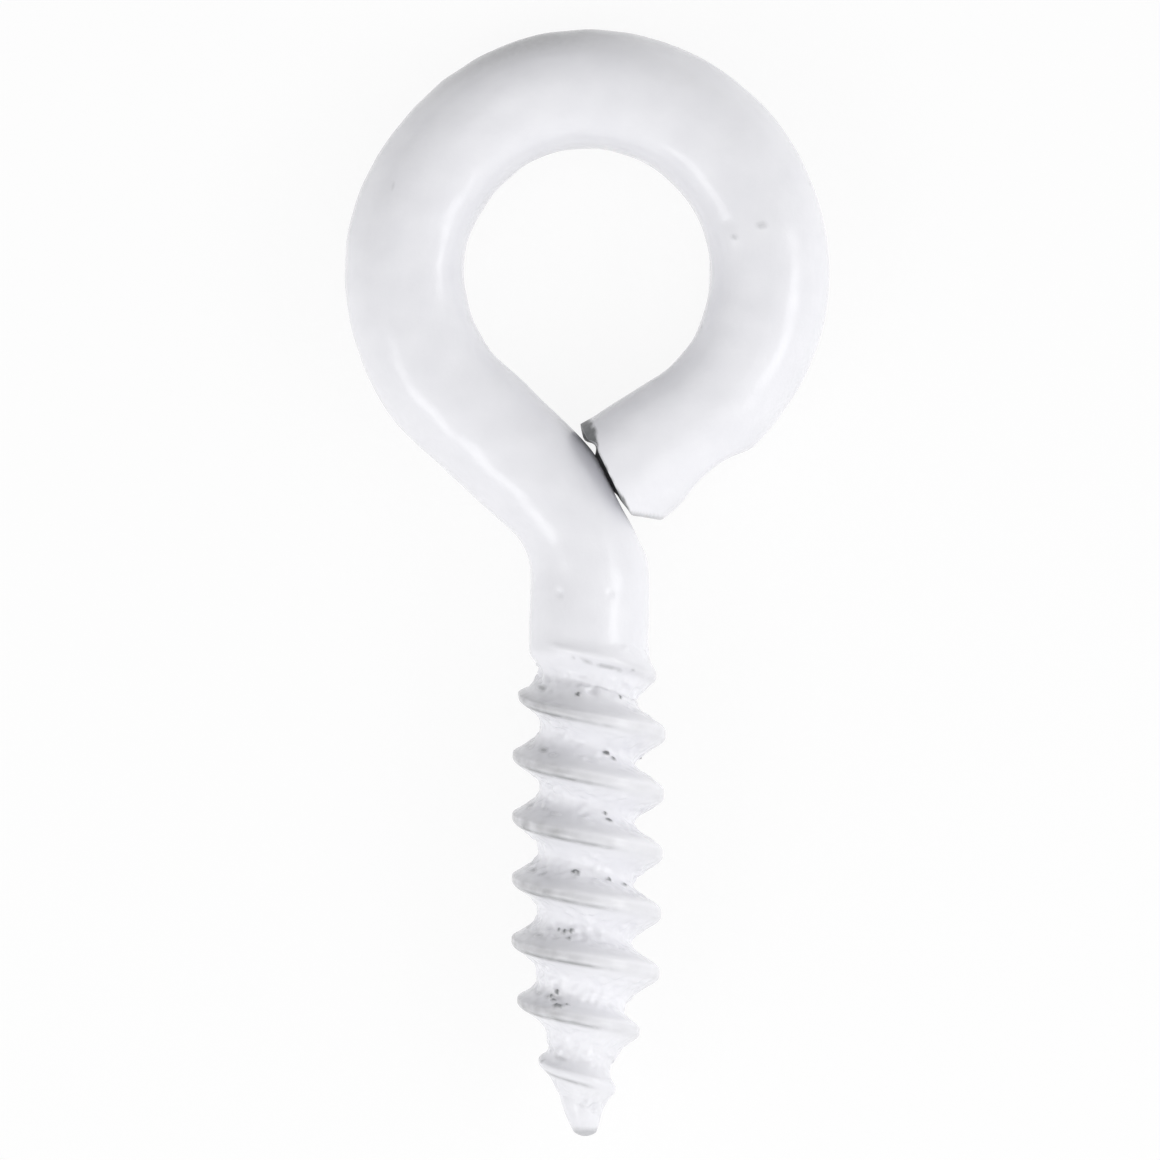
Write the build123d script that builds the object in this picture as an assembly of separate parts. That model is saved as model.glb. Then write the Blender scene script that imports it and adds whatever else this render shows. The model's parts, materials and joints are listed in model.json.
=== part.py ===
from build123d import *
from math import acos, atan2, ceil, cos, degrees, hypot, pi, radians, sin, tan
import os

# SCREW EYE. One length of steel wire: the lower end is rolled into a wood-screw thread with a gimlet
# point, the upper end is bent out to one side and round into an eye, and the sheared end is pressed up
# against the neck. Millimetres. The part lies flat: +X across, +Y along the shank towards the eye, and
# +Z up through the eye. The origin is on the shank's axis at the shoulder, where the thread starts.

# ---- wire and eye ----
wire_diameter = 3.22
eye_inside_diameter = 6.7

# ---- shank and neck, along the wire's centreline ----
shank_length = 1.785         # straight and round, from the thread's shoulder to the neck's bend
neck_bend_radius = 3.5
neck_length = 3.50           # straight wire between the neck's bend and the eye's curve
eye_offset = 0.23            # the eye's centre stands this far off the shank's axis, on the neck's side

# ---- sheared end ----
tail_turn = 53.5             # degrees below the eye's right-hand side where its curve runs out straight
tail_flare = 3               # degrees, half-angle of the swelling towards the sheared face
seat_angle = 27              # degrees of the neck's turn at which the end is pressed flat against it
seat_depth = 0.22            # depth of the flat pressed into the neck
shear_gap = 0.13             # clearance between the sheared face and that flat
burr_start = 0.29            # the end's outer corner is knocked over from this far past the seat's middle
burr_slope = 9               # degrees, fall of the knocked-over corner

# ---- marks of the bending tools ----
finger_radius = 1.5          # rounded finger that the neck was bent round
finger_bite = 0.17           # its depth in the neck's straight run, beside the crook
finger_tilt = 2.5            # degrees, by which its face runs out of the wire towards the eye
closing_tool_radius = 3.0    # round tool that pushed the tail home, from outside
closing_tool_bite = 0.25
closing_tool_place = 0.25    # its middle, this far along the tail

# ---- thread ----
thread_length = 13.0         # shoulder to tip
thread_diameter = 4.18       # over the crests, below the shoulder
thread_end_diameter = 4.0    # over the crests, where the point begins
root_diameter = 2.55
pitch = 1.62
thread_hand = -1             # 1 is a right-hand thread, -1 a left-hand one
crest_land = 0.22            # flat of the ridge's crest, along the axis
crest_break = 0.09           # rolled-over corners of the crest
root_land = 0.23             # plain root between two turns of the ridge
shoulder_length = 0.42       # cone from the shank down to the root
run_in_turns = 0.9           # the ridge swells out of the shank in this part of a turn
run_out_turns = 0.45         # and dies into the point in this part of one
start_angle = 108            # degrees round from +X towards +Z, where the ridge leaves the shank
start_height = 0.10          # centre of the ridge there, above the shoulder

# ---- gimlet point ----
point_length = 4.1           # from where crests and root begin to taper, to the tip
nose_length = 0.75           # steeper, rounded end of the root's cone
nose_diameter = 1.06         # where the nose begins
tip_diameter = 0.48          # blunt tip

# ---- worked-out sizes ----
wire_radius = wire_diameter / 2
eye_radius = (eye_inside_diameter + wire_diameter) / 2
root_radius = root_diameter / 2
nose_radius = nose_diameter / 2
tip_height = -thread_length
point_top = tip_height + point_length
nose_top = tip_height + nose_length


def direction(angle):
    """Unit vector of the XY plane at an angle, in degrees, from +X."""
    return Vector(cos(radians(angle)), sin(radians(angle)))


def on_circle(centre, radius, angle):
    """Point of the XY plane at an angle, in degrees, round a centre."""
    return centre + direction(angle) * radius


def wire_along(path, centre):
    """Round wire carried along a path in the XY plane, its section drawn from the side of a centre."""
    start = Plane(path @ 0, x_dir=centre - path @ 0, z_dir=path % 0)
    return sweep(start * Circle(wire_radius), path=path)


def upright_tool(place, radius):
    """Round forming tool that stands across the wire, along Z."""
    return Pos(place) * Cylinder(radius, 2 * wire_diameter)


# ---- neck and eye ----
# The neck's bend, its straight run and the eye are tangent to each other, so the turn of the bend
# follows from where the eye stands beside the axis.
across = neck_bend_radius + eye_radius
reach = acos((neck_bend_radius - eye_offset) / hypot(across, neck_length))
neck_turn = degrees(reach - atan2(neck_length, across))
bend_centre = Vector(-neck_bend_radius, shank_length)
neck_start = on_circle(bend_centre, neck_bend_radius, neck_turn)
neck_end = neck_start + direction(90 + neck_turn) * neck_length
eye_centre = on_circle(neck_end, eye_radius, neck_turn)
eye_end = on_circle(eye_centre, eye_radius, -tail_turn)

bend_path = CenterArc(bend_centre, neck_bend_radius, 0, neck_turn)
eye_path = ThreePointArc(neck_end, on_circle(eye_centre, eye_radius, 90), eye_end)
neck = wire_along(Wire([bend_path, Line(neck_start, neck_end)]), bend_centre)
eye = wire_along(eye_path, eye_centre)

# ---- sheared end ----
# The eye's curve runs out into a short tail, swollen by the shear. It is cut off along the outside of
# the neck's bend, where it was pressed into the neck, and its outer corner is knocked over.
tail_side = direction(-tail_turn)
tail_run = direction(-90 - tail_turn)
tail_length = eye_radius     # longer than it ends up, for the shear to cut
tail_end_radius = wire_radius + tail_length * tan(radians(tail_flare))
cone = Cone(wire_radius, tail_end_radius, tail_length, align=(Align.CENTER, Align.CENTER, Align.MIN))
seat_side = direction(seat_angle)
seat_place = bend_centre + seat_side * (neck_bend_radius + wire_radius - seat_depth)
shear_place = seat_place + seat_side * shear_gap
burr_place = on_circle(shear_place, burr_start, seat_angle - 90)
tail = Plane(eye_end, z_dir=tail_run) * cone
tail = split(tail, bisect_by=Plane(shear_place, z_dir=seat_side), keep=Keep.TOP)
tail = split(tail, bisect_by=Plane(burr_place, z_dir=direction(90 - burr_slope)), keep=Keep.TOP)
neck = split(neck, bisect_by=Plane(seat_place, z_dir=seat_side), keep=Keep.BOTTOM)

# ---- marks of the bending tools ----
# The finger lies against the shank and bites into the neck's straight run beside the crook. The
# closing tool hollows the outside of the tail.
finger_x = -wire_radius - finger_radius
bite_side = direction(neck_turn)
bite_reach = neck_bend_radius - wire_radius + finger_bite - finger_radius
finger_y = shank_length + (bite_reach - (finger_x - bend_centre.X) * bite_side.X) / bite_side.Y
finger_place = Vector(finger_x, finger_y)
bar = Box(neck_length + eye_radius, 2 * finger_radius, 2 * wire_diameter,
          align=(Align.MIN, Align.CENTER, Align.CENTER))
finger = Pos(finger_place) * Rot(0, 0, 90 + neck_turn + finger_tilt) * bar
closing_reach = wire_radius - closing_tool_bite + closing_tool_radius
closing_place = eye_end + tail_run * closing_tool_place + tail_side * closing_reach

neck = neck - finger - upright_tool(finger_place, finger_radius)
eye = eye + tail - upright_tool(closing_place, closing_tool_radius)

# ---- shank and thread's root, turned about the axis ----
shoulder = (wire_radius, 0)
root_top = (root_radius, -shoulder_length)
root_end = (root_radius, point_top)
nose_start = (nose_radius, nose_top)
tip_edge = (tip_diameter / 2, tip_height)
tip = (0, tip_height)
shank_top = [(0, shank_length), (wire_radius, shank_length)]
outline = Polyline(tip, *shank_top, shoulder, root_top, root_end, nose_start)
nose = TangentArc(nose_start, tip_edge, tangent=Vector(*nose_start) - Vector(*root_end))
core = revolve(make_face([outline, nose, Line(tip_edge, tip)]), axis=Axis.Y)

# ---- rolled ridge ----
# The ridge is made turn by turn from helical edges with straight strips between them, and its foot
# lies just inside the root. Its section shrinks along the point, as a gimlet point's does.
end_depth = 0.05             # depth of the ridge's two ends inside the metal, and half that of its foot
steps_per_turn = 12          # places where a helical edge is worked out; it is a smooth curve between
least_size = 0.3             # section of the dying ridge, as a share of the full one

ridge_turns = (start_height - nose_top) / pitch
full_depth = thread_diameter / 2 - root_radius
flank_slope = ((pitch - root_land - crest_land) / 2 - crest_break) / full_depth


def root_radius_at(height):
    """Radius of the thread's root, which tapers along the point."""
    taper = (root_radius - nose_radius) / (point_top - nose_top)
    return root_radius - taper * max(0, point_top - height)


def full_radius_at(height):
    """Radius of a fully rolled crest, which tapers a little on the shank and quickly on the point."""
    if height > point_top:
        return (thread_diameter - (thread_diameter - thread_end_diameter) * height / point_top) / 2
    return (tip_diameter + (thread_end_diameter - tip_diameter) * (height - tip_height) / point_length) / 2


def crest_radius(turn, height):
    """Radius of the crest, which swells out of the shank and dies away into the point."""
    swell = sin(pi / 2 * min(1, turn / run_in_turns))
    fade = sin(pi / 2 * min(1, (ridge_turns - turn) / run_out_turns))
    first = wire_radius - end_depth
    last = root_radius_at(height) - end_depth
    return last + (first + (full_radius_at(height) - first) * swell - last) * fade


def ridge_corners(turn):
    """The six corners of the ridge's section, so many turns down from its start."""
    height = start_height - pitch * turn
    crest = crest_radius(turn, height)
    depth = crest - root_radius_at(height)
    size = min(1, least_size + (1 - least_size) * max(0, depth) / full_depth)
    flat = crest_land / 2 * size
    side = flat + crest_break * size
    foot = side + flank_slope * (depth + 2 * end_depth)
    section = [
        (crest, flat),
        (crest - crest_break * size / 2, side),
        (root_radius_at(height + foot) - 2 * end_depth, foot),
        (root_radius_at(height - foot) - 2 * end_depth, -foot),
        (crest - crest_break * size / 2, -side),
        (crest, -flat),
    ]
    angle = radians(start_angle) + thread_hand * 2 * pi * turn
    return [Vector(radius * cos(angle), height + offset, radius * sin(angle)) for radius, offset in section]


def ridge_stretch(start, end):
    """Closed stretch of the ridge between two counts of turns."""
    turns = [start + (end - start) * i / steps_per_turn for i in range(steps_per_turn + 1)]
    corners = [ridge_corners(turn) for turn in turns]
    edges = [Edge.make_spline(list(points), parameters=turns) for points in zip(*corners)]
    strips = [Face.make_surface_from_curves(a, b) for a, b in zip(edges, edges[1:] + edges[:1])]
    ends = [Face(Wire.make_polygon(corners[i])) for i in (0, -1)]
    return Solid(Shell(strips + ends))


stretches = ceil(ridge_turns)
joins = [ridge_turns * i / stretches for i in range(stretches + 1)]
ridge = [ridge_stretch(start, end) for start, end in zip(joins, joins[1:])]

# ---- the whole screw eye, one solid ----
screw_eye = core + ridge + neck + eye

os.makedirs("parts", exist_ok=True)
export_step(screw_eye, "parts/screw_eye.step")
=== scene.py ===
import json
from math import atan2, cos, pi, radians, sin, sqrt, tan

import bpy
import numpy as np
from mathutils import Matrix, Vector


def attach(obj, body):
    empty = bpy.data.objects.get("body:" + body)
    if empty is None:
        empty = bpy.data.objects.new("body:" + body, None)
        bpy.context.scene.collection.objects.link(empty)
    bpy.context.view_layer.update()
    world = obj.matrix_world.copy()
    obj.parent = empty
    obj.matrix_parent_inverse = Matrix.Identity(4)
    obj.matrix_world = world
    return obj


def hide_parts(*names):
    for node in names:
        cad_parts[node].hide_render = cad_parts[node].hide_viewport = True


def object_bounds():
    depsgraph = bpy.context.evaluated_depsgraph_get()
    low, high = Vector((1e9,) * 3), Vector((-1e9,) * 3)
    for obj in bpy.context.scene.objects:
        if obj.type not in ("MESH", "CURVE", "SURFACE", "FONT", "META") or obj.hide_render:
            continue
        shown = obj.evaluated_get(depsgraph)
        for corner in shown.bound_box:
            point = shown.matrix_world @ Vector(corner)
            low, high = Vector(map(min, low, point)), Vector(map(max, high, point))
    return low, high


# A small enamelled screw eye, lying flat on a white table. The wire's sizes are in millimetres, and
# they are turned into the frame's metres where the mesh is made.

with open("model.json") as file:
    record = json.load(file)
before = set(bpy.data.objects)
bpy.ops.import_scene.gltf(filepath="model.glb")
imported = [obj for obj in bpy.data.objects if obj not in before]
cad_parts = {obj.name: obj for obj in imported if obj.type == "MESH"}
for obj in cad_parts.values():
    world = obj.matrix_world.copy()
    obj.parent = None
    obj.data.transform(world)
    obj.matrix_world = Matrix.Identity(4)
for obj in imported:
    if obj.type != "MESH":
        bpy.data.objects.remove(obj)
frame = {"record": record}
cad_low, cad_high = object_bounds()
MM = 0.001

# ---- camera ----
# It looks straight down on the part from half a metre, through a long lens. The part is a degree off
# the picture's upright.
scene = bpy.context.scene
view_middle = Vector((-0.265, 2.023, 0)) * MM
view_width = 31.35 * MM
view_lean = radians(0.91)
camera_height = 0.5

camera_data = bpy.data.cameras.new("camera")
camera_data.sensor_width = 36
camera_data.lens = camera_data.sensor_width * camera_height / view_width
camera_data.clip_start = 0.01
camera_data.clip_end = 10
camera = bpy.data.objects.new("camera", camera_data)
camera.location = view_middle + Vector((0, 0, camera_height))
camera.rotation_euler = (0, 0, view_lean)
scene.collection.objects.link(camera)
scene.camera = camera
scene.view_settings.view_transform = "Standard"

# ---- wire ----
# The whole part is one length of steel wire. Its lower end is rolled into a wood-screw thread with a
# gimlet point, and its upper end is bent out, round into an eye and back onto the neck. White enamel
# covers it, rounds the thread's edges and fills the thread's root a little.
eye_mount = next(mount for mount in frame["record"]["mounts"] if mount["name"] == "eye")
eye_centre = np.array(eye_mount["pos_m"][:2]) / MM
tip_height = cad_low.y / MM
wire_radius = 1.61
eye_radius = cad_high.y / MM - eye_centre[1] - wire_radius
shank_length = 1.785
bend_radius = 3.5
tail_turn = 53.5             # degrees

# The neck's turn follows from where the eye stands beside the shank.
eye_rise = eye_centre[1] - shank_length
eye_side = bend_radius + eye_centre[0]
across = bend_radius + eye_radius
neck_length = sqrt(eye_rise**2 + eye_side**2 - across**2)
neck_turn = np.degrees(atan2(eye_rise, eye_side) - atan2(neck_length, across))
bend_centre = np.array([-bend_radius, shank_length])


def direction(angle):
    """Unit vector of the XY plane at an angle, in degrees, from +X."""
    return np.array([cos(radians(angle)), sin(radians(angle))])


def soft_max(a, b, reach):
    """The larger of two arrays, with the corner where they cross filled by a parabola of that reach."""
    share = np.clip(0.5 + 0.5 * (a - b) / reach, 0, 1)
    return b + (a - b) * share + reach * share * (1 - share)


def soft_min(a, b, reach):
    """The smaller of two arrays, with the corner where they cross rounded by a parabola."""
    return -soft_max(-a, -b, reach)


def smooth_step(low, high, value):
    """0 below low and 1 above high, with an S-shaped cubic between them."""
    t = np.clip((value - low) / (high - low), 0, 1)
    return t * t * (3 - 2 * t)


def plateau(value, start, full, ease, end):
    """1 from full to ease and 0 outside start and end, with smooth steps between them."""
    return smooth_step(start, full, value) * (1 - smooth_step(ease, end, value))


def hump(value, middle, spread):
    """1 in the middle, falling away on both sides by a Gauss curve of that spread."""
    return np.exp(-((value - middle) / spread)**2)


# Thread and point: sizes of the steel under the enamel.
thread_diameter = 4.18
thread_end_diameter = 4.0
root_diameter = 2.55
pitch = 1.62
thread_hand = -1
crest_land = 0.22
crest_break = 0.09
root_land = 0.23
shoulder_length = 0.42
shoulder_top_round = 0.1
shoulder_foot_round = 0.12
run_in_turns = 0.9
run_out_turns = 0.45
start_angle = 108            # degrees
start_height = 0.10
point_length = 4.1
nose_length = 0.75
nose_diameter = 1.06
tip_diameter = 0.48

# What the roll left out of true. Spans are heights, and places and spreads are turns of the ridge.
sway_reach = 0.105           # the helix stands lower on the right and higher on the left
sway_span = (tip_height + 2, -2)
low_turns_drop = 0.06        # and all of it a little lower towards the point
low_turns_span = (-8, -3)
crest_shift = 0.05           # the crests stand further out on the right
first_crest_dent = 0.14      # the first crest is blunt on the left
first_dent_place = 0.8
first_dent_spread = 0.14
left_lean = 0.10             # upper flanks are thinner on the left
first_lean = 0.16            # and on the first turn
first_lean_place = 0.9
first_lean_spread = 0.2

# Enamel: how far it reaches into the corners of the thread, and how it rounds them.
root_fill = 0.34
point_fill = 0.9
point_fill_span = (-11.2, -10.2)   # heights between which the one goes over into the other
start_fill = 0.5             # added in the first root
first_root = -0.85
first_root_spread = 0.45
start_slope = 0.5            # share of the upper flank's slope where the ridge starts
start_slope_span = (0.2, 1.0)      # turns between which the flank steepens
crest_round = 0.16
tip_round = 0.14

# Depths and shares that only keep the surfaces clear of each other where the ridge starts and ends.
end_depth = 0.05
before_start_drop = 0.5
before_start_turns = 0.15
past_end_drop = 0.8
past_end_turns = 0.05
least_size = 0.3

root_radius = root_diameter / 2
nose_radius = nose_diameter / 2
point_top = tip_height + point_length
nose_top = tip_height + nose_length
ridge_turns = (start_height - nose_top) / pitch
full_depth = thread_diameter / 2 - root_radius
flank_slope = ((pitch - root_land - crest_land) / 2 - crest_break) / full_depth


def core_radius(height):
    """Radius of the core at heights along the axis: a cylinder, a cone along the point, a steeper nose
    that falls away by the square of the depth into it, and an elliptical end. A cone joins it to the
    shank at the top."""
    taper = (root_radius - nose_radius) / (point_top - nose_top)
    root = root_radius - taper * np.maximum(0, point_top - height)
    into_nose = np.clip((nose_top - height) / nose_length, 0, 1)
    shortfall = nose_radius - taper * nose_length - tip_diameter / 2
    root = root - shortfall * into_nose**2
    shoulder = wire_radius + (wire_radius - root_radius) * height / shoulder_length
    above = soft_min(shoulder, wire_radius + 0 * height, shoulder_top_round)
    radius = soft_max(root, above, shoulder_foot_round)
    to_end = np.clip(1 - (height - tip_height) / tip_round, 0, 1)
    return radius * np.sqrt(np.maximum(1 - to_end**2, 0))


def ridge_radius(angle, height):
    """Radius of the rolled ridge at angles round the axis and heights along it. The ridge's middle is a
    helix, and the offset from the nearest turn of it gives the place on a section with a flat crest and
    straight flanks. The crest swells out of the shank and fades into the core by quarter waves of a
    sine. The roll ran a little out of true: the helix sways with the cosine of the angle, the crest
    moves to one side, Gauss humps blunt the first crest and thin the first flank, and the upper flanks
    lean in on the left. Also how far below the ridge's middle each place is, and how deep the ridge is
    there."""
    left = -np.cos(np.radians(angle))
    sway = sway_reach * left * smooth_step(*sway_span, height)
    sway = sway - low_turns_drop * (1 - smooth_step(*low_turns_span, height))
    turn = (start_height + sway - height) / pitch
    helix = thread_hand * (angle - start_angle) / 360
    own_turn = helix + np.round(turn - helix)
    own_height = start_height - pitch * own_turn
    below = (turn - own_turn) * pitch

    on_shank = (thread_diameter - (thread_diameter - thread_end_diameter) * own_height / point_top) / 2
    up_point = (thread_end_diameter - tip_diameter) * (own_height - tip_height) / point_length
    full = np.where(own_height > point_top, on_shank, (tip_diameter + up_point) / 2)
    swell = np.sin(pi / 2 * np.clip(own_turn / run_in_turns, 0, 1))
    fade = np.sin(pi / 2 * np.clip((ridge_turns - own_turn) / run_out_turns, 0, 1))
    first = wire_radius - end_depth
    last = core_radius(own_height) - end_depth
    crest = last + (first + (full - first) * swell - last) * fade
    crest = crest - first_crest_dent * hump(own_turn, first_dent_place, first_dent_spread)
    crest = crest - before_start_drop * smooth_step(0, before_start_turns, -own_turn)
    crest = crest - crest_shift * left * smooth_step(0, 1, own_turn) * fade
    crest = crest - past_end_drop * smooth_step(-run_out_turns, past_end_turns,
                                                own_turn - ridge_turns)

    depth = np.maximum(0, crest - core_radius(own_height))
    size = np.minimum(1, least_size + (1 - least_size) * depth / full_depth)
    side = (crest_land / 2 + crest_break) * size
    started = smooth_step(*start_slope_span, own_turn)
    steepness = np.where(below < 0, start_slope + (1 - start_slope) * started, 1) / flank_slope
    lean = left_lean * smooth_step(0, 1, left)
    lean = lean + first_lean * hump(own_turn, first_lean_place, first_lean_spread)
    lean = lean * smooth_step(0, 0.15, -below)
    flank = crest - crest_break / 2 * size + (side - lean - np.abs(below)) * steepness
    return soft_min(crest, flank, crest_round * size), below, depth


# Rows of the mesh, by distance along the wire from the tip: close together where the thread is.
bend_length = bend_radius * radians(neck_turn)
eye_turn = 180 + neck_turn + tail_turn
eye_length = eye_radius * radians(eye_turn)
wire_marks = np.cumsum([0, shank_length - tip_height, bend_length, neck_length, eye_length])
shank_end, bend_end, neck_end, eye_end = wire_marks[1:]
thread_top = 0.35 - tip_height
thread_step = 0.036
shank_step = 0.06
wire_row_count = 219
columns = 144
tip_rows = tip_round * (1 - np.cos(np.linspace(0, pi / 2, 9)))
thread_rows = np.arange(tip_round, thread_top, thread_step)[1:]
shank_rows = np.arange(thread_top, shank_end + 0.2, shank_step)
wire_rows = np.linspace(shank_end + 0.25, eye_end, wire_row_count)
run = np.concatenate([tip_rows, thread_rows, shank_rows, wire_rows])
angle = np.arange(columns) * 360 / columns
round_wire = np.radians(angle)


def wire_line(run):
    """Centre points and headings, in degrees, at distances along the wire. The heading is even on the
    straight runs and turns evenly on the bends, and the points are the running sum of its steps."""
    headings = [90, 90, 90 + neck_turn, 90 + neck_turn, 90 + neck_turn - eye_turn]
    heading = np.interp(run, wire_marks, headings)
    halfway = np.radians((heading[1:] + heading[:-1]) / 2)
    steps = np.diff(run)[:, None] * np.stack([np.cos(halfway), np.sin(halfway)], axis=1)
    points = np.vstack([[0, 0], np.cumsum(steps, axis=0)]) + [0, tip_height]
    return points, heading


centres, heading = wire_line(run)

# The eye was bent by hand round its former, so it stands a little nearer its middle at the far left.
# Each of these dents in its line has a depth, and its place and spread in degrees round the eye. The
# wire is a trace thinner at the last one. The neck and the tip of the point stand a little aside.
line_dents = ((0.08, 145, 25), (0.05, 195, 20), (0.03, 130, 24))
thinned_place, thinned_spread = line_dents[-1][1:]
neck_aside = 0.05
tip_aside = 0.12
tip_aside_span = (-13, -12)  # heights between which it starts
dent_thinning = 0.02
tail_thinning = 0.03

from_eye = centres - eye_centre
around_eye = np.degrees(np.arctan2(from_eye[:, 1], from_eye[:, 0])) % 360
on_eye = run > neck_end - 1.0
drawn_in = on_eye * sum(depth * hump(around_eye, place, reach) for depth, place, reach in line_dents)
centres -= (drawn_in / np.hypot(*from_eye.T))[:, None] * from_eye
on_neck = plateau(run, bend_end - 0.8, bend_end + 0.8, neck_end - 1.0, neck_end + 1.0)
centres += neck_aside * on_neck[:, None] * direction(neck_turn)
centres[:, 0] += tip_aside * (1 - smooth_step(*tip_aside_span, centres[:, 1]))

# The ridge stands on the core, and enamel fills the corner between them.
height = (run + tip_height)[:, None]
bare_wire = core_radius(height) + 0 * angle
ridge, below, ridge_depth = ridge_radius(angle[None, :], height)
fill = root_fill + (point_fill - root_fill) * (1 - smooth_step(*point_fill_span, height))
fill = fill + start_fill * hump(height, first_root, first_root_spread)
radius = np.where(height < 1, soft_max(bare_wire, ridge, fill), bare_wire)
near_tip = smooth_step(0, 2.5 * tip_round, height - tip_height)
radius = bare_wire + (radius - bare_wire) * near_tip
radius *= 1 - tail_thinning * smooth_step(eye_end - 3.5, eye_end - 1.5, run)[:, None]
radius *= 1 - (dent_thinning * hump(around_eye, thinned_place, thinned_spread) * on_eye)[:, None]

# Bending upset the wire inside the eye, so the inner half of its section is a little squarer: a
# superellipse, |x|^n + |z|^n = 1.
inner_power = 2.7
reach_sum = np.abs(np.cos(round_wire))**inner_power + np.abs(np.sin(round_wire))**inner_power
squarer = np.where(np.cos(round_wire) > 0, reach_sum**(-1 / inner_power), 1)
upset = smooth_step(bend_end + 1.0, neck_end + 1.5, run)[:, None]
radius *= 1 + upset * (squarer - 1)
side = np.stack([np.sin(np.radians(heading)), -np.cos(np.radians(heading))], axis=1)


def swept(centres, side, radius):
    """Grid of points round the wire's centreline. Each row is a section square to it: the radius times
    the cosine of the angle to the wire's side, and times its sine upwards."""
    flat = centres[:, None, :] + side[:, None, :] * (radius * np.cos(round_wire))[:, :, None]
    return np.concatenate([flat, (radius * np.sin(round_wire))[:, :, None]], axis=2)


points = swept(centres, side, radius)

# Sheared end: the eye's curve runs out into a short straight tail, swollen by the shear, which stops
# against a flat that it pressed into the neck.
tail_flare = 3               # degrees
seat_angle = 27              # degrees of the neck's turn
seat_depth = 0.22
shear_gap = 0.13
burr_start = 0.29
burr_slope = 9               # degrees
tail_run = direction(-90 - tail_turn)
seat_side = direction(seat_angle)
seat_place = bend_centre + seat_side * (bend_radius + wire_radius - seat_depth)
shear_place = seat_place + seat_side * shear_gap
burr_place = shear_place + direction(seat_angle - 90) * burr_start
burr_side = direction(-90 - burr_slope)

last_ring = points[-1]
swelling = tan(radians(tail_flare))
tail_ray = np.concatenate([tail_run + swelling * side[-1] * np.cos(round_wire)[:, None],
                           swelling * np.sin(round_wire)[:, None]], axis=1)
to_shear = (shear_place - last_ring[:, :2]) @ seat_side / (tail_ray[:, :2] @ seat_side)
tail_share = np.sin(np.linspace(0, pi / 2, 32))[1:]
tail = last_ring + tail_share[:, None, None] * to_shear[None, :, None] * tail_ray
face_middle = tail[-1].mean(axis=0)


def beside_shear(points):
    """How far points stand from the middle of the sheared face, along the face and towards the inside
    of the eye."""
    return (points[..., :2] - face_middle[:2]) @ direction(seat_angle + 90)


def before_shear(points):
    """How far points stand from the plane of the sheared face, towards the tail."""
    return (points[..., :2] - shear_place) @ seat_side


# The end's face closes on its middle. Its lower half was dragged out into a lip, which meets the neck,
# its inner corner into a burr, and enamel stands in a bead on its rim. The spans are places beside the
# face's middle, except that the lip gives out between two heights.
lip_reach = 0.27
lip_span = (-0.5, 0.0, 0.55, 0.9)
lip_outer = (-1.0, -0.4)
lip_heights = (-0.25, 0.35)
lip_least = 0.15             # share of its reach beside its span
lip_corner = 0.4             # share added at the inner corner
inner_corner = (1.05, 1.3)
corner_burr = 0.17
corner_burr_span = (1.0, 1.25)
corner_burr_depth = (0.02, 0.22)
rim_bead = 0.07
rim_bead_span = (-1.2, -0.6, 0.8, 1.05)
rim_bead_depth = 0.25
face_share = np.concatenate([np.linspace(0.98, 0.8, 6), np.linspace(0.7, 0.06, 9)])[:, None, None]
face = face_middle + face_share * (tail[-1] - face_middle)
beside = beside_shear(face)
lip = lip_reach * (1 - face_share[..., 0]**4) * (1 - smooth_step(*lip_heights, face[..., 2]))
lip *= ((lip_least + (1 - lip_least) * plateau(beside, *lip_span)
         + lip_corner * smooth_step(*inner_corner, beside)) * smooth_step(*lip_outer, beside))
face[..., :2] -= lip[..., None] * seat_side
sheared_off = np.concatenate([tail, face])
at_corner = (smooth_step(*corner_burr_span, beside_shear(sheared_off))
             * (1 - smooth_step(*corner_burr_depth, before_shear(sheared_off))))
sheared_off[..., :2] -= corner_burr * at_corner[..., None] * seat_side
on_rim = (plateau(beside_shear(sheared_off), *rim_bead_span)
          * (1 - smooth_step(0, rim_bead_depth, before_shear(sheared_off))))
sheared_off[..., :2] -= rim_bead * on_rim[..., None] * seat_side
points = np.concatenate([points, sheared_off])
rows = len(points)
face_rows = slice(rows - len(face), rows)


def press(points, depth, into, reach):
    """Points moved back along a direction by how deep they stand in a tool, with the edge of the mark
    rounded: the move is the softened larger of the depth and nothing."""
    move = soft_max(depth, np.zeros_like(depth), reach)
    return points - move[..., None] * into


def press_flat(points, place, out, reach):
    """A flat pressed across the wire: no point stands beyond the plane through place, square to out."""
    depth = (points[..., :2] - place) @ out
    return press(points, depth, np.array([out[0], out[1], 0]), reach)


def press_round(points, place, tool_radius, reach):
    """The mark of a round tool that stands upright at place: no point stands within its radius."""
    away = points[..., :2] - place
    distance = np.hypot(away[..., 0], away[..., 1])
    into = np.concatenate([-away / distance[..., None], np.zeros(distance.shape + (1,))], axis=-1)
    return press(points, tool_radius - distance, into, reach)


# Marks of the bending tools: a rounded finger beside the crook, and the tool that pushed the tail home
# from outside. The sheared end wore its seat in the neck a little deeper and rounder.
finger_radius = 1.5
finger_bite = 0.17
finger_tilt = 2.5            # degrees
finger_edge = 0.1
seat_edge = 0.04
seat_wear = 0.03
seat_round = 0.08
closing_tool_radius = 3.0
closing_tool_bite = 0.25
closing_tool_place = 0.25
closing_tool_edge = 0.12
burr_edge = 0.05
neck_rows = slice(np.searchsorted(run, shank_end - 1.5), np.searchsorted(run, neck_end + 1.0))
tail_rows = slice(np.searchsorted(run, eye_end - 3.0), rows)

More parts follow.
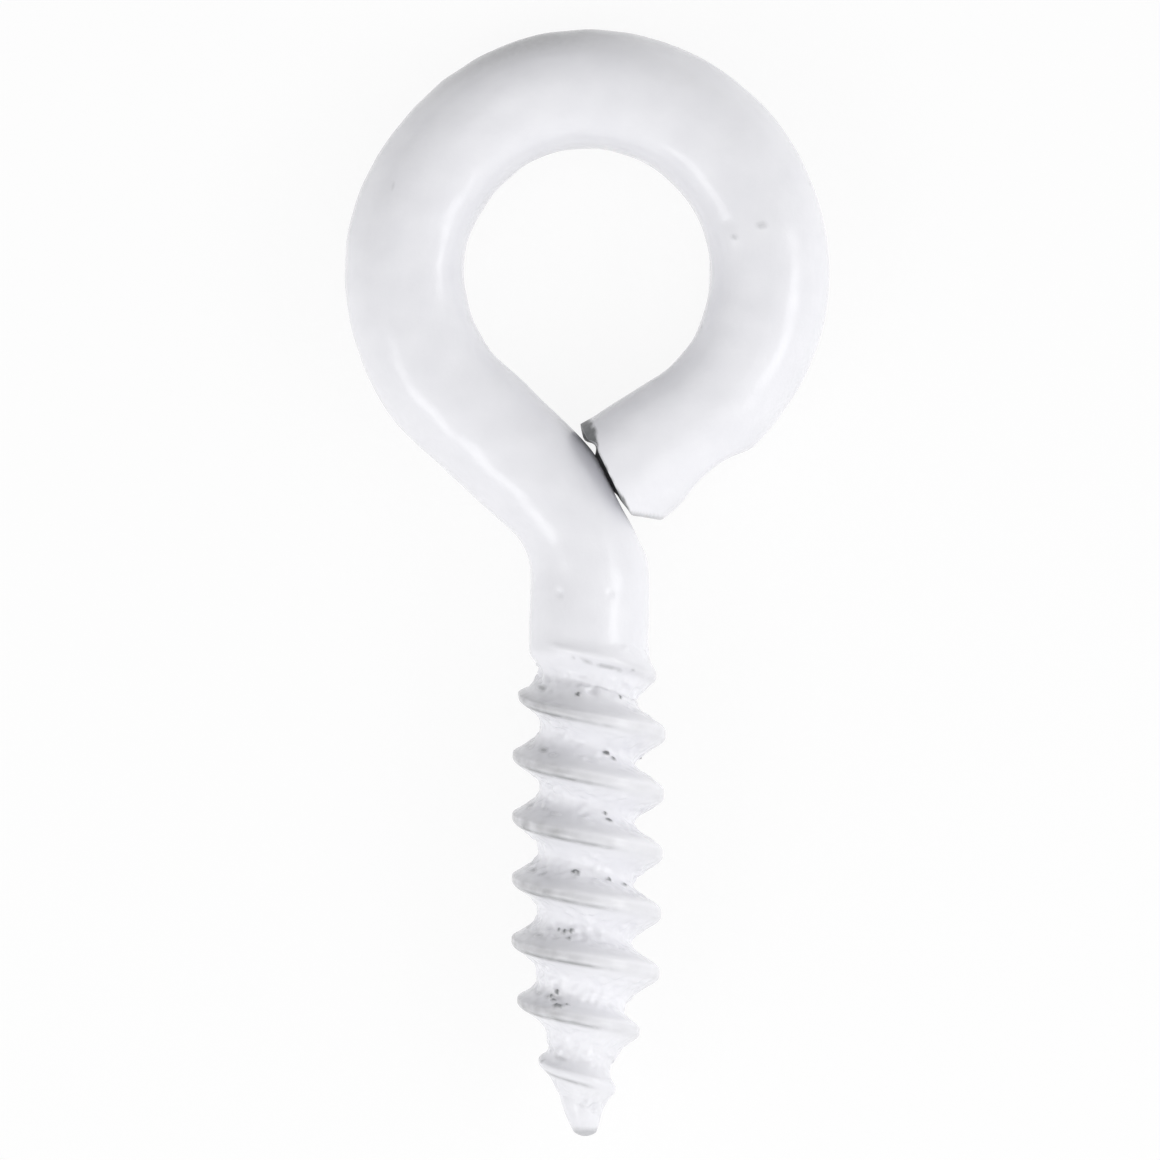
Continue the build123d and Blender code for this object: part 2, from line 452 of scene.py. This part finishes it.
neck_side = direction(neck_turn)
finger_x = -wire_radius - finger_radius
bite_reach = bend_radius - wire_radius + finger_bite - finger_radius
finger_y = shank_length + (bite_reach - (finger_x - bend_centre[0]) * neck_side[0]) / neck_side[1]
finger_face = direction(neck_turn + finger_tilt)
finger_place = np.array([finger_x, finger_y])
neck = points[neck_rows]
beyond = (neck[..., :2] - finger_place) @ direction(90 + neck_turn)
neck_flat = press_flat(neck, finger_place + finger_face * finger_radius, -finger_face, finger_edge)
neck_round = press_round(neck, finger_place, finger_radius, finger_edge)
neck = np.where((beyond > 0)[..., None], neck_flat, neck_round)

seated = press_flat(neck, seat_place, seat_side, seat_edge)
worn = press_flat(neck, seat_place - seat_side * seat_wear, seat_side, seat_round)
along_seat = (neck[..., :2] - seat_place) @ direction(seat_angle + 90)
points[neck_rows] = seated + smooth_step(-0.7, 0.1, along_seat)[..., None] * (worn - seated)

closing_reach = wire_radius - closing_tool_bite + closing_tool_radius
closing_place = (last_ring.mean(axis=0)[:2] + tail_run * closing_tool_place
                 + direction(-tail_turn) * closing_reach)
nipped = press_round(points[tail_rows], closing_place, closing_tool_radius, closing_tool_edge)
points[tail_rows] = press_flat(nipped, burr_place, burr_side, burr_edge)


def unevenness(points, size, seed):
    """A smooth random field with a spread of about one: the sum of 36 plane waves with random headings
    and phases, and wavelengths near the given size."""
    draw = np.random.default_rng(seed)
    heading = draw.normal(size=(36, 3))
    heading *= (draw.uniform(0.7, 1.4, 36) / np.linalg.norm(heading, axis=1) * 2 * pi / size)[:, None]
    return np.sin(points @ heading.T + draw.uniform(0, 2 * pi, 36)).sum(axis=-1) / sqrt(18)


def outward(points):
    """Unit normals of the grid: the cross product of its steps along the wire and round it."""
    along = np.gradient(points, axis=0)
    around = np.roll(points, -1, axis=1) - np.roll(points, 1, axis=1)
    normal = np.cross(around, along)
    return normal / np.maximum(np.linalg.norm(normal, axis=-1, keepdims=True), 1e-9)


# The enamel is not quite even: long shallow waves all over, and small lumps where it has run into the
# thread's roots.
wave_height = 0.006
wave_size = 1.1
lump_height = 0.014
lump_size = 0.31
lump_patches = 1.3
on_thread = np.zeros(points.shape[:2])
on_thread[:len(run)] = smooth_step(0, 0.25, ridge_depth) * (1 - smooth_step(0.1, 0.4, height))
below_ridge = np.full(points.shape[:2], pitch / 2)
below_ridge[:len(run)] = below
in_root = on_thread * smooth_step(0.2, 0.5, np.abs(below_ridge))
wave = wave_height * unevenness(points, wave_size, seed=1) * (1 - on_thread)
lumps = lump_height * in_root * unevenness(points, lump_size, seed=2)
lumps *= 1 + 0.5 * unevenness(points, lump_patches, seed=3)
normals = outward(points)
body = slice(0, face_rows.start - 2)
points[body] += ((wave + lumps)[..., None] * normals)[body]

# The thread's crests are greyed where the enamel is thin. Painted shade greys them further on the left,
# the side turned from the light, and the flanks above them there, less towards the point. The grey is
# blotchy, more so where the shade is painted on the left. The first two spans are places below the
# ridge's middle, and the others are heights.
crest_span = (-0.16, 0.02, 0.17, 0.31)
flank_span = (-0.66, -0.5, -0.16, 0.02)
first_flank_span = (-1.2, -0.9)
point_grey_span = (-11, -10.2)
crest_grey = 0.24
shade_side_turn = 0.35             # radians round the wire from its left, to the middle of the side with painted shade
left_crest_painted_shade = 0.56       # added there
left_flank_painted_shade = 0.15
point_grey = 0.09
point_share = 0.15           # of the thread's grey
tip_grey = 0.3
blotch_share = 0.08
left_blotch_shade = 0.24           # added on the left
blotch_crest = 0.8           # share of it taken off on the crests
left = -np.cos(round_wire)[None, :]
painted_shade_side = smooth_step(-0.8, 0.3, -np.cos(round_wire - shade_side_turn))[None, :]
on_crest = plateau(below_ridge, *crest_span)
on_upper = plateau(below_ridge, *flank_span)
on_upper *= 1 - smooth_step(*first_flank_span, points[..., 1])
above_point = smooth_step(*point_grey_span, points[..., 1])
grey_and_painted_shade = on_thread * (on_crest * (crest_grey + left_crest_painted_shade * painted_shade_side)
                    + left_flank_painted_shade * on_upper * painted_shade_side)
grey_and_painted_shade *= point_share + (1 - point_share) * above_point
grey_and_painted_shade = np.maximum(grey_and_painted_shade, point_grey * (1 - above_point))
blotch = (blotch_share + left_blotch_shade * smooth_step(0.2, 0.8, left)) * (1 - blotch_crest * on_crest)
grey_and_painted_shade *= 1 + 0.12 * unevenness(points, size=0.6, seed=4) + blotch * unevenness(points, size=0.3, seed=12)
grey_and_painted_shade = np.clip(grey_and_painted_shade, 0, 1)

# Painted shade greys a crescent at the far outside of the eye, on the side beside the dark screen. The
# sheared end is also greyer along the burr's cut edge at its knocked-over corner.
crescent_painted_shade = 0.75
crescent_turn = 106          # degrees round the eye
crescent_spread = 23
burr_grey = 0.7
from_eye = points[..., :2] - eye_centre
far_turn = np.degrees(np.arctan2(from_eye[..., 1], from_eye[..., 0]))
outside = (np.hypot(from_eye[..., 0], from_eye[..., 1]) - eye_radius) / wire_radius
shaded_crescent = (hump(far_turn, crescent_turn, crescent_spread) * smooth_step(0.5, 0.92, outside)
           * smooth_step(-0.9, 0.1, points[..., 2]))
grey_and_painted_shade = np.maximum(grey_and_painted_shade, crescent_painted_shade * shaded_crescent)
row_numbers = np.arange(rows)[:, None]
to_burr = (points[..., :2] - burr_place) @ burr_side
grey_and_painted_shade = np.maximum(grey_and_painted_shade, burr_grey * (row_numbers > len(run)) * smooth_step(-0.12, -0.04, to_burr))

# Dark steel colour at the sheared end: bare steel on its rim and its burr, with painted shade of the
# narrow gap laid over the rim there, and painted shade of the gap on the lower half of its face and in
# a trace on the neck that it faces. Its edge stands a little before the shear and further at the inner
# corner, and the bead of enamel stands in front of it. Both edges are ragged.
rim_steel_and_shade = 0.85
rim_edge = 0.02
rim_edge_inner = 0.09        # added at the inner corner
rim_edge_outer = 0.01        # taken off towards the outer one
rim_edge_soft = 0.04
rim_rows = 12                # of the eye's, before the tail's, which the rim's steel and painted shade may reach
face_painted_shade = 0.85            # share of the rim's
face_top_coat = 0.7          # taken off it on the upper half
seat_painted_shade = 0.14
seat_edge_depth = -0.24      # before the shear, so beyond it on the neck
seat_edge_inner = 0.02
seat_edge_outer = 0.13
seat_edge_soft = 0.06
seat_edge_sharp = 0.03       # taken off that towards the outer corner
seat_painted_shade_span = (-1.45, -1.15, 1.6, 2.0)
beside = beside_shear(points)
before = before_shear(points)
edge = (rim_edge + rim_edge_inner * smooth_step(*inner_corner, beside)
        - rim_edge_outer * smooth_step(0.1, 0.5, -beside))
edge -= (rim_bead + 0.01) * plateau(beside, -0.7, -0.3, 0.8, 1.05)
edge += 0.015 * unevenness(points, size=0.3, seed=6)
sheared_steel_and_shade = 1 - smooth_step(edge - rim_edge_soft, edge + rim_edge_soft, before)
sheared_steel_and_shade *= row_numbers > len(run) - rim_rows
sheared_steel_and_shade[face_rows] = face_painted_shade - face_top_coat * smooth_step(0.2, 0.8, points[face_rows, :, 2])
to_outer = smooth_step(0.0, 0.6, -beside)
shade_band_edge = (seat_edge_depth + seat_edge_inner * smooth_step(0.7, 1.1, beside)
             + seat_edge_outer * to_outer)
shade_band_edge += 0.02 * unevenness(points, size=0.4, seed=7)
shade_band_soft = seat_edge_soft - seat_edge_sharp * to_outer
is_neck = (row_numbers >= neck_rows.start) & (row_numbers < neck_rows.stop)
seat_shade = is_neck * smooth_step(shade_band_edge - shade_band_soft, shade_band_edge + shade_band_soft, before)
seat_shade *= plateau(beside, *seat_painted_shade_span)

# Dark lines on the thread, mostly painted shade: a line along the crest's lower border, broken into
# chips that are partly bare steel and partly painted shade, and a fainter painted shade line high on
# the upper flank. A short painted shadow line shows where the ridge leaves the shank.
border_place = 0.2           # below the ridge's middle, as are the other line places
border_width = 0.045
chip_steel_and_shade = 0.5
line_shade = 0.26
low_line_shade = 0.1         # added on the lower turns
low_line_span = (-7, -2.5)
upper_line_shade = 0.22
upper_line_place = -0.34
upper_line_width = 0.07
first_line_shade = 0.4
first_line_width = 0.05
first_line_heights = (-0.55, -0.45, 0.05, 0.15)
first_line_across = (-0.5, -0.35, 0.8, 0.95)
border = hump(below_ridge, border_place, border_width) * on_thread
line_side = 1 - smooth_step(0.0, 0.6, -left)
chipped = smooth_step(0.2, 1.1, unevenness(points * [1, 0.6, 1], size=0.9, seed=5) + 0.3 * painted_shade_side)
chips_and_shade = chip_steel_and_shade * border * line_side * chipped
steel_and_shade = np.clip(chips_and_shade + rim_steel_and_shade * sheared_steel_and_shade + seat_painted_shade * seat_shade, 0, 1)
line = line_shade + low_line_shade * (1 - smooth_step(*low_line_span, points[..., 1]))
steel_and_shade = np.maximum(steel_and_shade, line * border * line_side * (1 + 0.3 * unevenness(points, size=0.5, seed=10)))
upper_line = hump(below_ridge, upper_line_place, upper_line_width) * on_thread
upper_line *= smooth_step(0.35, 0.7, left)
upper_broken = np.clip(0.8 + 0.9 * unevenness(points, size=0.35, seed=11), 0, 2.5)
steel_and_shade = np.maximum(steel_and_shade, upper_line_shade * upper_line * upper_broken)
first_line = hump(below_ridge, border_place, first_line_width) * (points[..., 2] > 0)
first_line *= plateau(points[..., 1], *first_line_heights)
first_line *= plateau(points[..., 0], *first_line_across)
first_broken = np.clip(0.7 + 0.8 * unevenness(points, size=0.4, seed=13), 0, 1)
steel_and_shade = np.maximum(steel_and_shade, first_line_shade * first_line * first_broken)

# Flaws in the enamel of the upper side, each by its place across and along the part, its size and its
# depth or height: pinholes and chips on the thread, dimples on the eye, and beads. The deeper holes
# show dark steel. More holes are strewn over the roots on the far side.
pinholes = [(-0.24, -1.05, 0.09, 0.05), (0.87, -1.11, 0.09, 0.04), (0.50, -2.62, 0.11, 0.05),
            (0.69, -2.80, 0.12, 0.06), (0.50, -4.25, 0.09, 0.04), (0.60, -4.45, 0.12, 0.05),
            (-0.32, -5.86, 0.11, 0.05), (-0.20, -5.88, 0.12, 0.06), (0.63, -6.05, 0.11, 0.06),
            (1.05, -6.18, 0.12, 0.06), (-0.66, -7.42, 0.10, 0.05), (-0.54, -7.43, 0.11, 0.05),
            (-0.35, -7.44, 0.09, 0.04), (-0.40, -7.62, 0.10, 0.04), (-0.70, -9.08, 0.10, 0.07),
            (-0.82, -9.20, 0.11, 0.07), (-0.82, -9.33, 0.11, 0.07), (-0.74, -9.46, 0.11, 0.07),
            (-0.60, -9.47, 0.12, 0.06), (-0.46, -9.44, 0.10, 0.05), (-1.64, -4.70, 0.10, 0.03),
            (1.20, -0.35, 0.08, 0.03), (-1.15, -10.80, 0.09, 0.03)]
dimples = [(3.76, 11.38, 0.13, 0.024), (4.48, 11.64, 0.14, 0.022), (-5.43, 12.60, 0.11, 0.018)]
beads = [(-0.83, 1.64, 0.16, 0.04), (0.57, 1.68, 0.14, 0.02), (3.58, 11.72, 0.2, 0.02),
         (3.86, 11.05, 0.18, 0.015), (-0.92, -0.62, 0.24, 0.06), (-0.62, -0.74, 0.22, 0.05),
         (-0.32, -0.72, 0.25, 0.06), (0.10, -0.92, 0.2, 0.05), (-0.45, -2.25, 0.2, 0.04),
         (-0.70, -2.12, 0.16, 0.04), (-0.20, -2.38, 0.16, 0.035)]
strewn_count = 34
hole_spread = 0.7            # of a Gauss hump, as a share of the hole's size
steel_depth = 0.04           # a hole this deep goes down to the steel
hole_steel = 0.85
hole_steel_span = (0.25, 0.8)      # shares of a hole's depth between which the steel starts to show
tip_steel = 0.4
tip_steel_span = (0.10, 0.30)      # distances from the tip between which it ends
strewn = np.random.default_rng(8)
far_roots = np.argwhere((in_root > 0.9) & (points[..., 2] < 0.2))
places = [(points[tuple(spot)], strewn.uniform(0.07, 0.13), strewn.uniform(0.03, 0.06))
          for spot in far_roots[strewn.choice(len(far_roots), strewn_count, replace=False)]]
upper = points[..., 2] > 0.3
for x, y, size, depth in pinholes + dimples + [(x, y, size, -rise) for x, y, size, rise in beads]:
    off = np.where(upper, np.hypot(points[..., 0] - x, points[..., 1] - y), 99)
    places.append((points[np.unravel_index(off.argmin(), off.shape)], size, depth))
ragged = np.clip(1 + 0.35 * unevenness(points, size=0.22, seed=9), 0.4, 3)
normals = outward(points)
for spot, size, depth in places:
    hole = np.exp(-((points - spot)**2).sum(axis=-1) / (hole_spread * size)**2 * ragged)
    points -= (depth * hole)[..., None] * normals
    shown = hole_steel * min(1, (max(depth, 0) / steel_depth)**2)
    steel_and_shade = np.maximum(steel_and_shade, shown * smooth_step(*hole_steel_span, hole))
near_end = 1 - smooth_step(*tip_steel_span, points[..., 1] - tip_height)
steel_and_shade = np.maximum(steel_and_shade, tip_steel * near_end)

# Faces: quads between the rows, and fans of triangles onto the tip and onto the middle of the face. The
# first row is the tip itself, so one vertex stands for it.
vertices = np.vstack([points.reshape(-1, 3)[columns:], [0, tip_height, 0], points[-1].mean(axis=0)])
tip_vertex, face_vertex = len(vertices) - 2, len(vertices) - 1
row, column = np.meshgrid(np.arange(rows - 2), np.arange(columns), indexing="ij")
following = (column + 1) % columns
quads = np.stack([row * columns + column, (row + 1) * columns + column,
                  (row + 1) * columns + following, row * columns + following], axis=-1).reshape(-1, 4)
around = np.arange(columns)
after = (around + 1) % columns
last_row = (rows - 2) * columns
tip_fan = np.stack([np.full(columns, tip_vertex), around, after], axis=1)
end_fan = np.stack([last_row + around, np.full(columns, face_vertex), last_row + after], axis=1)
faces = quads.tolist() + tip_fan.tolist() + end_fan.tolist()

wire_mesh = bpy.data.meshes.new("enamelled_wire")
wire_mesh.from_pydata((vertices * MM).tolist(), [], faces)
wire_mesh.update()
wire_mesh.polygons.foreach_set("use_smooth", np.ones(len(faces), bool))
# The first attribute holds thin enamel and painted shade, the second bare steel and painted shade.
for name, values, tip_value in (("thin_enamel_and_shade", grey_and_painted_shade, tip_grey), ("bare_steel_and_shade", steel_and_shade, 0.0)):
    attribute = wire_mesh.attributes.new(name, "FLOAT", "POINT")
    attribute.data.foreach_set("value", np.r_[values[1:].ravel(), tip_value, values[-1].mean()])
wire = bpy.data.objects.new("enamelled_wire", wire_mesh)
scene.collection.objects.link(wire)

# The coat: gloss white enamel, greyed where it is thin and where shade is painted, over dark dull
# steel, whose colour also stands for painted shade in the sheared end's gap and along the thread's
# lines. Each colour wanders a little between two shades, the gloss wanders too, and fine orange peel
# ripples the surface.
enamel_shades = (0.80, 0.80, 0.835, 1), (0.83, 0.83, 0.862, 1)
grey_and_shade_colours = (0.44, 0.44, 0.455, 1), (0.52, 0.52, 0.535, 1)
steel_and_shade_colours = (0.05, 0.056, 0.056, 1), (0.13, 0.137, 0.137, 1)
gloss_roughness = (0.17, 0.27)
steel_roughness = 0.5
peel_size = 0.22
peel_height = 0.01
peel_strength = 0.25
enamel = bpy.data.materials.new("white_enamel")
enamel.use_nodes = True
nodes, links = enamel.node_tree.nodes, enamel.node_tree.links
shader = nodes["Principled BSDF"]
place = nodes.new("ShaderNodeTexCoord")


def mottle(size, low, high):
    """Node output that wanders from low to high over patches of the given size in millimetres."""
    noise = nodes.new("ShaderNodeTexNoise")
    noise.inputs["Scale"].default_value = 1 / (size * MM)
    noise.inputs["Detail"].default_value = 3
    links.new(place.outputs["Object"], noise.inputs["Vector"])
    span = nodes.new("ShaderNodeMapRange")
    span.inputs["From Min"].default_value = 0.3
    span.inputs["From Max"].default_value = 0.7
    span.inputs["To Min"].default_value = low
    span.inputs["To Max"].default_value = high
    links.new(noise.outputs["Fac"], span.inputs["Value"])
    return span.outputs["Result"]


def blend(kind, share, first, second):
    """Node output between two colours or numbers, each a plain value or another node's output."""
    mix = nodes.new("ShaderNodeMix")
    mix.data_type = kind
    at = {"FLOAT": (2, 3, 0), "RGBA": (6, 7, 2)}[kind]
    sockets = mix.inputs[0], mix.inputs[at[0]], mix.inputs[at[1]]
    for socket, value in zip(sockets, (share, first, second)):
        if isinstance(value, bpy.types.NodeSocket):
            links.new(value, socket)
        else:
            socket.default_value = value
    return mix.outputs[at[2]]


def painted(name):
    """Node output with one of the mesh's own attributes."""
    attribute = nodes.new("ShaderNodeAttribute")
    attribute.attribute_name = name
    return attribute.outputs["Fac"]


white = blend("RGBA", mottle(0.9, 0, 1), *enamel_shades)
grey_and_shade_colour = blend("RGBA", mottle(0.18, 0, 1), *grey_and_shade_colours)
steel_and_shade_colour = blend("RGBA", mottle(0.15, 0, 1), *steel_and_shade_colours)
coated = blend("RGBA", painted("thin_enamel_and_shade"), white, grey_and_shade_colour)
links.new(blend("RGBA", painted("bare_steel_and_shade"), coated, steel_and_shade_colour), shader.inputs["Base Color"])
gloss = mottle(0.4, *gloss_roughness)
links.new(blend("FLOAT", painted("bare_steel_and_shade"), gloss, steel_roughness), shader.inputs["Roughness"])
peel = nodes.new("ShaderNodeBump")
peel.inputs["Strength"].default_value = peel_strength
peel.inputs["Distance"].default_value = peel_height * MM
links.new(mottle(peel_size, 0, 1), peel.inputs["Height"])
links.new(peel.outputs["Normal"], shader.inputs["Normal"])
wire_mesh.materials.append(enamel)
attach(wire, "root")
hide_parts("screw_eye")

# ---- table ----
# A matt white table top. The thread's crests stand out below the wire, so the part lies on its first
# full crest and on the far side of the eye, and the table tilts to it by that little.
first_full_crest = -1.5
table_size = 2.0
table_white = 0.85
table_roughness = 0.9
table_share = 0.9            # of plain white in what the camera and shiny things see
crest_place = Vector((0, first_full_crest * MM, cad_low.z))
eye_far = Vector((0, (eye_centre[1] + eye_radius) * MM, -wire_radius * MM))
rise = (eye_far.z - crest_place.z) / (eye_far.y - crest_place.y)
corners = [(x * table_size, y * table_size, crest_place.z + rise * (y * table_size - crest_place.y))
           for x, y in ((-1, -1), (1, -1), (1, 1), (-1, 1))]
table_mesh = bpy.data.meshes.new("table")
table_mesh.from_pydata(corners, [], [(0, 1, 2, 3)])
table = bpy.data.objects.new("table", table_mesh)
scene.collection.objects.link(table)
table_paint = bpy.data.materials.new("table_white")
table_paint.use_nodes = True
matt = table_paint.node_tree.nodes["Principled BSDF"]
matt.inputs["Base Color"].default_value = (table_white, table_white, table_white, 1)
matt.inputs["Roughness"].default_value = table_roughness


def white_to_view(tree, lit, share, end):
    """Shader nodes of a background: rays from the camera and rays off shiny or clear things meet plain
    white in this share and the lit surface in the rest, and all other rays meet the lit surface."""
    rays = tree.nodes.new("ShaderNodeLightPath")
    on_surface = end.type == "OUTPUT_MATERIAL"
    plain = tree.nodes.new("ShaderNodeEmission" if on_surface else "ShaderNodeBackground")
    plain.inputs["Color"].default_value = (1, 1, 1, 1)
    plain.inputs["Strength"].default_value = 1
    kinds = rays.outputs["Is Camera Ray"]
    for kind in ("Is Glossy Ray", "Is Transmission Ray"):
        either = tree.nodes.new("ShaderNodeMath")
        either.operation = "MAXIMUM"
        tree.links.new(kinds, either.inputs[0])
        tree.links.new(rays.outputs[kind], either.inputs[1])
        kinds = either.outputs[0]
    part = tree.nodes.new("ShaderNodeMath")
    part.operation = "MULTIPLY"
    part.inputs[1].default_value = share
    tree.links.new(kinds, part.inputs[0])
    mix = tree.nodes.new("ShaderNodeMixShader")
    tree.links.new(part.outputs[0], mix.inputs["Fac"])
    tree.links.new(lit, mix.inputs[1])
    tree.links.new(plain.outputs[0], mix.inputs[2])
    tree.links.new(mix.outputs[0], end.inputs["Surface"])


table_end = table_paint.node_tree.nodes["Material Output"]
white_to_view(table_paint.node_tree, matt.outputs[0], table_share, table_end)
table_mesh.materials.append(table_paint)

# ---- room ----
# A pale room lights the part from all round, a little more from beyond the eye. The air behind the part
# looks white.
room_level = 1.80
far_azimuth = 104            # degrees
far_gain = 0.8

world = bpy.data.worlds.new("room")
scene.world = world
world.use_nodes = True
nodes, links = world.node_tree.nodes, world.node_tree.links
towards = nodes.new("ShaderNodeTexCoord")
farness = nodes.new("ShaderNodeVectorMath")
farness.operation = "DOT_PRODUCT"
farness.inputs[1].default_value = (*direction(far_azimuth), 0)
strength = nodes.new("ShaderNodeMath")
strength.operation = "MULTIPLY_ADD"
strength.inputs[1].default_value = room_level * far_gain
strength.inputs[2].default_value = room_level
walls = nodes["Background"]
walls.inputs["Color"].default_value = (1, 1, 1, 1)
links.new(towards.outputs["Generated"], farness.inputs[0])
links.new(farness.outputs["Value"], strength.inputs[0])
links.new(strength.outputs[0], walls.inputs["Strength"])
white_to_view(world.node_tree, walls.outputs[0], 1, nodes["World Output"])

# ---- screen ----
# A dark cloth screen, bowed round the part, keeps the light off it from low at the far left. It thins
# out to nothing towards its edge.
screen_azimuth = 107         # degrees, as are the next three
screen_height = 31
screen_full = 18
screen_edge = 96
screen_distance = 0.35
screen_dark = 0.02
screen_rings = 60
screen_spokes = 60


def bowed_cloth(off_middle, round_middle):
    """Directions from the part to the cloth, by the angles off the screen's middle and round it. The
    first angle's cosine goes along the middle's own direction and its sine across it, to the side by
    the second angle's cosine and up by its sine."""
    level = cos(radians(screen_height))
    middle = np.append(direction(screen_azimuth) * level, sin(radians(screen_height)))
    sideways = np.append(direction(screen_azimuth + 90), 0)
    upwards = np.cross(middle, sideways)
    return (np.cos(off_middle)[..., None] * middle + np.sin(off_middle)[..., None]
            * (np.cos(round_middle)[..., None] * sideways + np.sin(round_middle)[..., None] * upwards))


off_middle, round_middle = np.meshgrid(np.radians(np.linspace(0.5, screen_edge, screen_rings)),
                                       np.radians(np.arange(screen_spokes) * 360 / screen_spokes),
                                       indexing="ij")
bowed = bowed_cloth(off_middle, round_middle)
ring, spoke = np.meshgrid(np.arange(screen_rings - 1), np.arange(screen_spokes), indexing="ij")
following = (spoke + 1) % screen_spokes
screen_faces = np.stack([ring * screen_spokes + spoke, (ring + 1) * screen_spokes + spoke,
                         (ring + 1) * screen_spokes + following, ring * screen_spokes + following],
                        axis=-1).reshape(-1, 4)
screen_mesh = bpy.data.meshes.new("screen")
screen_mesh.from_pydata((bowed.reshape(-1, 3) * screen_distance).tolist(), [], screen_faces.tolist())
cover = screen_mesh.attributes.new("cover", "FLOAT", "POINT")
woven = 1 - smooth_step(screen_full, screen_edge, np.degrees(off_middle))
cover.data.foreach_set("value", woven.ravel())
screen = bpy.data.objects.new("screen", screen_mesh)
scene.collection.objects.link(screen)
screen.visible_camera = False
cloth = bpy.data.materials.new("screen_cloth")
cloth.use_nodes = True
nodes, links = cloth.node_tree.nodes, cloth.node_tree.links
dark = nodes["Principled BSDF"]
dark.inputs["Base Color"].default_value = (screen_dark, screen_dark, screen_dark, 1)
dark.inputs["Roughness"].default_value = 1
thickness = nodes.new("ShaderNodeAttribute")
thickness.attribute_name = "cover"
links.new(thickness.outputs["Fac"], dark.inputs["Alpha"])
screen_mesh.materials.append(cloth)

# ---- lamps ----
# Two soft boxes stand about fifty degrees off the upright, one at the right and one at the lower left.
box_polar = 51               # degrees off the upright
box_distance = 0.6


def soft_box(name, azimuth, radiance, width, tall):
    """A rectangular lamp facing the part, its power worked out from how bright its face is."""
    lamp = bpy.data.lights.new(name, "AREA")
    lamp.shape = "RECTANGLE"
    lamp.size = width
    lamp.size_y = tall
    lamp.energy = radiance * pi * width * tall
    away = Vector((*(direction(azimuth) * sin(radians(box_polar))), cos(radians(box_polar))))
    box = bpy.data.objects.new(name, lamp)
    box.location = away * box_distance
    box.rotation_euler = away.to_track_quat("Z", "Y").to_euler()
    scene.collection.objects.link(box)


soft_box("box_right", azimuth=-11, radiance=2.9, width=0.38, tall=0.18)
soft_box("box_lower_left", azimuth=217, radiance=3.0, width=0.28, tall=0.19)
